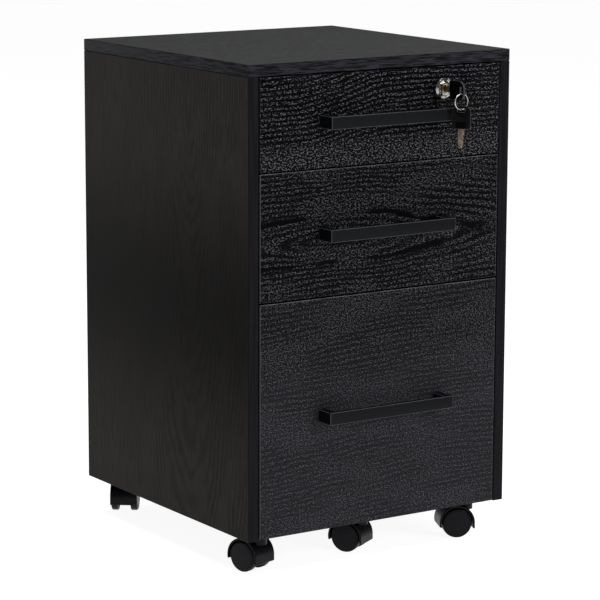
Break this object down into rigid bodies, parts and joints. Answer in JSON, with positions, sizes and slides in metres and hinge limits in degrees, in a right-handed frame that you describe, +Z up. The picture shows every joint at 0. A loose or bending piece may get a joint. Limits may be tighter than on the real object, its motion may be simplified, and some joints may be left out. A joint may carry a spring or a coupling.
{
  "type": "rolling pedestal cabinet",
  "caption": "Black woodgrain mobile pedestal cabinet with a pen drawer, a box drawer and a file drawer, bar pulls, a keyed lock in the top drawer and twin-wheel casters.",
  "frame": {"origin": "on the floor under the middle of the whole outline, hanging keys and casters included", "axes": "+Z up, -Y out of the drawer fronts towards the user, +X to the right seen from the front"},
  "size_m": [0.4, 0.466, 0.65],
  "materials": {
    "black_woodgrain_laminate": "embossed black oak woodgrain laminate on particleboard, satin",
    "drawer_box_board": "smooth dark laminate on particleboard, matt",
    "back_board": "black hardboard, matt",
    "black_handle_metal": "black powder coat, satin",
    "slide_steel": "zinc plated steel sheet",
    "caster_nylon": "black nylon, moulded, semi matt",
    "lock_chrome": "bright nickel chrome plate",
    "key_plastic": "black plastic bow on a nickel silver blade"
  },
  "bodies": {
    "cabinet": {"top_panel": "black_woodgrain_laminate", "bottom_panel": "black_woodgrain_laminate", "back_panel": "back_board", "left_side_panel": "black_woodgrain_laminate", "right_side_panel": "black_woodgrain_laminate", "top_cabinet_slide_left": "slide_steel", "top_cabinet_slide_right": "slide_steel", "middle_cabinet_slide_left": "slide_steel", "middle_cabinet_slide_right": "slide_steel", "file_cabinet_slide_left": "slide_steel", "file_cabinet_slide_right": "slide_steel"},
    "top_drawer": {"top_drawer_front": "black_woodgrain_laminate", "top_drawer_back": "drawer_box_board", "top_drawer_bottom": "drawer_box_board", "top_drawer_left_side": "drawer_box_board", "top_drawer_right_side": "drawer_box_board", "top_drawer_handle": "black_handle_metal", "top_drawer_slide_left": "slide_steel", "top_drawer_slide_right": "slide_steel", "lock_housing": "lock_chrome", "lock_nut": "slide_steel"},
    "middle_drawer": {"middle_drawer_front": "black_woodgrain_laminate", "middle_drawer_back": "drawer_box_board", "middle_drawer_bottom": "drawer_box_board", "middle_drawer_left_side": "drawer_box_board", "middle_drawer_right_side": "drawer_box_board", "middle_drawer_handle": "black_handle_metal", "middle_drawer_slide_left": "slide_steel", "middle_drawer_slide_right": "slide_steel"},
    "file_drawer": {"file_drawer_front": "black_woodgrain_laminate", "file_drawer_back": "drawer_box_board", "file_drawer_bottom": "drawer_box_board", "file_drawer_left_side": "drawer_box_board", "file_drawer_right_side": "drawer_box_board", "file_drawer_handle": "black_handle_metal", "file_drawer_slide_left": "slide_steel", "file_drawer_slide_right": "slide_steel", "drawer_caster_block": "drawer_box_board", "file_rail_left": "slide_steel", "file_rail_right": "slide_steel"},
    "lock_core": {"lock_plug": "lock_chrome", "lock_cam": "slide_steel"},
    "key": {"key": "key_plastic"},
    "key_ring": {"key_ring": "lock_chrome"},
    "spare_key": {"spare_key": "key_plastic"},
    "front_left_caster": {"front_left_caster_frame": "caster_nylon"},
    "front_left_wheel_1": {"front_left_wheel_1": "caster_nylon"},
    "front_left_wheel_2": {"front_left_wheel_2": "caster_nylon"},
    "front_right_caster": {"front_right_caster_frame": "caster_nylon"},
    "front_right_wheel_1": {"front_right_wheel_1": "caster_nylon"},
    "front_right_wheel_2": {"front_right_wheel_2": "caster_nylon"},
    "back_left_caster": {"back_left_caster_frame": "caster_nylon"},
    "back_left_wheel_1": {"back_left_wheel_1": "caster_nylon"},
    "back_left_wheel_2": {"back_left_wheel_2": "caster_nylon"},
    "back_right_caster": {"back_right_caster_frame": "caster_nylon"},
    "back_right_wheel_1": {"back_right_wheel_1": "caster_nylon"},
    "back_right_wheel_2": {"back_right_wheel_2": "caster_nylon"},
    "drawer_caster": {"drawer_caster_frame": "caster_nylon"},
    "drawer_wheel_1": {"drawer_wheel_1": "caster_nylon"},
    "drawer_wheel_2": {"drawer_wheel_2": "caster_nylon"}
  },
  "joints": [
    {"name": "top_drawer_slide", "type": "slide", "parent": "cabinet", "child": "top_drawer", "axis": [0, -1, 0], "range_m": [0, 0.26]},
    {"name": "middle_drawer_slide", "type": "slide", "parent": "cabinet", "child": "middle_drawer", "axis": [0, -1, 0], "range_m": [0, 0.26]},
    {"name": "file_drawer_slide", "type": "slide", "parent": "cabinet", "child": "file_drawer", "axis": [0, -1, 0], "range_m": [0, 0.26]},
    {"name": "lock_turn", "type": "hinge", "parent": "top_drawer", "child": "lock_core", "pos_m": [0.094, -0.18553, 0.605], "axis": [0, 1, 0], "range_deg": [0, 90]},
    {"name": "key_pull", "type": "slide", "parent": "lock_core", "child": "key", "axis": [0, -1, 0], "range_m": [0, 0.022]},
    {"name": "key_ring_swing", "type": "hinge", "parent": "key", "child": "key_ring", "pos_m": [0.094, -0.22453, 0.6012], "axis": [-1, 0, 0], "range_deg": [0, 70]},
    {"name": "spare_key_swing", "type": "hinge", "parent": "key_ring", "child": "spare_key", "pos_m": [0.094, -0.22453, 0.5912], "axis": [0, 1, 0], "range_deg": [-75, 75]},
    {"name": "front_left_caster_swivel", "type": "hinge", "parent": "cabinet", "child": "front_left_caster", "pos_m": [-0.163, -0.15253, 0.05], "axis": [0, 0, 1], "continuous": true},
    {"name": "front_left_wheel_1_spin", "type": "hinge", "parent": "front_left_caster", "child": "front_left_wheel_1", "pos_m": [-0.16709, -0.13915, 0.02], "axis": [-0.9563, -0.2924, 0], "continuous": true},
    {"name": "front_left_wheel_2_spin", "type": "hinge", "parent": "front_left_caster", "child": "front_left_wheel_2", "pos_m": [-0.16709, -0.13915, 0.02], "axis": [-0.9563, -0.2924, 0], "continuous": true},
    {"name": "front_right_caster_swivel", "type": "hinge", "parent": "cabinet", "child": "front_right_caster", "pos_m": [0.163, -0.15253, 0.05], "axis": [0, 0, 1], "continuous": true},
    {"name": "front_right_wheel_1_spin", "type": "hinge", "parent": "front_right_caster", "child": "front_right_wheel_1", "pos_m": [0.15021, -0.14684, 0.02], "axis": [-0.4067, -0.9135, 0], "continuous": true},
    {"name": "front_right_wheel_2_spin", "type": "hinge", "parent": "front_right_caster", "child": "front_right_wheel_2", "pos_m": [0.15021, -0.14684, 0.02], "axis": [-0.4067, -0.9135, 0], "continuous": true},
    {"name": "back_left_caster_swivel", "type": "hinge", "parent": "cabinet", "child": "back_left_caster", "pos_m": [-0.163, 0.19147, 0.05], "axis": [0, 0, 1], "continuous": true},
    {"name": "back_left_wheel_1_spin", "type": "hinge", "parent": "back_left_caster", "child": "back_left_wheel_1", "pos_m": [-0.15457, 0.20265, 0.02], "axis": [-0.7986, 0.6018, 0], "continuous": true},
    {"name": "back_left_wheel_2_spin", "type": "hinge", "parent": "back_left_caster", "child": "back_left_wheel_2", "pos_m": [-0.15457, 0.20265, 0.02], "axis": [-0.7986, 0.6018, 0], "continuous": true},
    {"name": "back_right_caster_swivel", "type": "hinge", "parent": "cabinet", "child": "back_right_caster", "pos_m": [0.163, 0.19147, 0.05], "axis": [0, 0, 1], "continuous": true},
    {"name": "back_right_wheel_1_spin", "type": "hinge", "parent": "back_right_caster", "child": "back_right_wheel_1", "pos_m": [0.16662, 0.20499, 0.02], "axis": [-0.9659, 0.2588, 0], "continuous": true},
    {"name": "back_right_wheel_2_spin", "type": "hinge", "parent": "back_right_caster", "child": "back_right_wheel_2", "pos_m": [0.16662, 0.20499, 0.02], "axis": [-0.9659, 0.2588, 0], "continuous": true},
    {"name": "drawer_caster_swivel", "type": "hinge", "parent": "file_drawer", "child": "drawer_caster", "pos_m": [0, -0.14253, 0.05], "axis": [0, 0, 1], "continuous": true},
    {"name": "drawer_wheel_1_spin", "type": "hinge", "parent": "drawer_caster", "child": "drawer_wheel_1", "pos_m": [-0.007, -0.13041, 0.02], "axis": [-0.866, -0.5, 0], "continuous": true},
    {"name": "drawer_wheel_2_spin", "type": "hinge", "parent": "drawer_caster", "child": "drawer_wheel_2", "pos_m": [-0.007, -0.13041, 0.02], "axis": [-0.866, -0.5, 0], "continuous": true}
  ]
}
